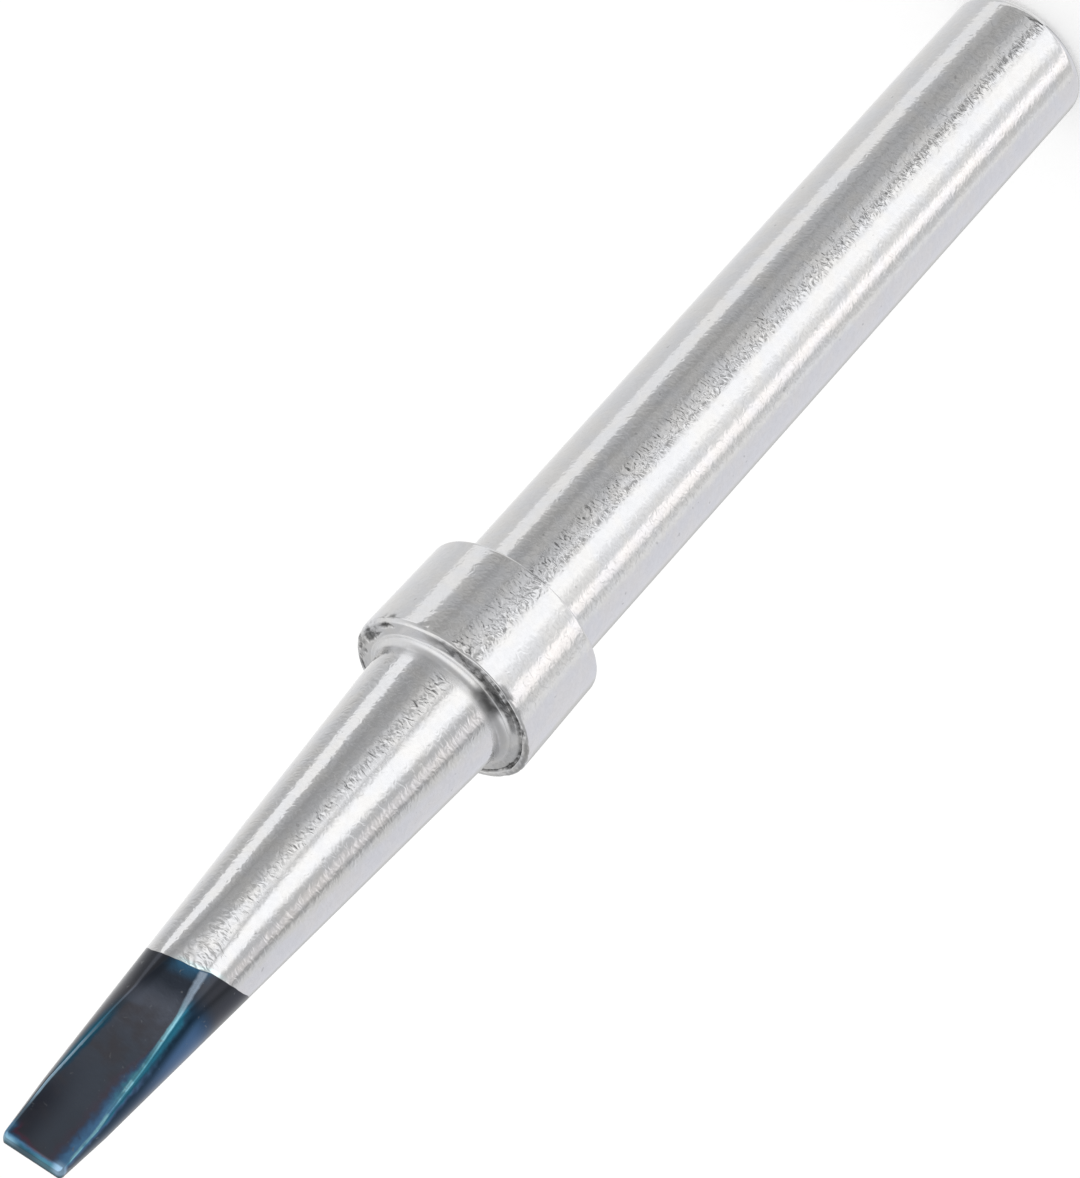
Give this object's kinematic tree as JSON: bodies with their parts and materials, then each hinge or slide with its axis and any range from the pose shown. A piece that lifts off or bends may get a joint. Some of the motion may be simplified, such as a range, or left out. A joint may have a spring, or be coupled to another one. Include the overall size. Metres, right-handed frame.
{
  "type": "soldering iron tip",
  "caption": "Plated soldering iron tip: a plain round shank, a collar, and a long cone milled to a chisel whose working end has a dark blue coat.",
  "frame": {"origin": "centre of the shank's rear end, on which the tip stands", "axes": "+Z along the tip's axis, from the shank to the working end; the chisel's two flats face -Y and +Y, and its end edge runs along X"},
  "size_m": [0.0086, 0.0086, 0.0673],
  "materials": {
    "nickel_plate": "bright satin nickel plate with a fine orange-peel grain; the working end has a glossy dark blue coat"
  },
  "bodies": {
    "root": {"soldering_tip": "nickel_plate"}
  },
  "joints": []
}
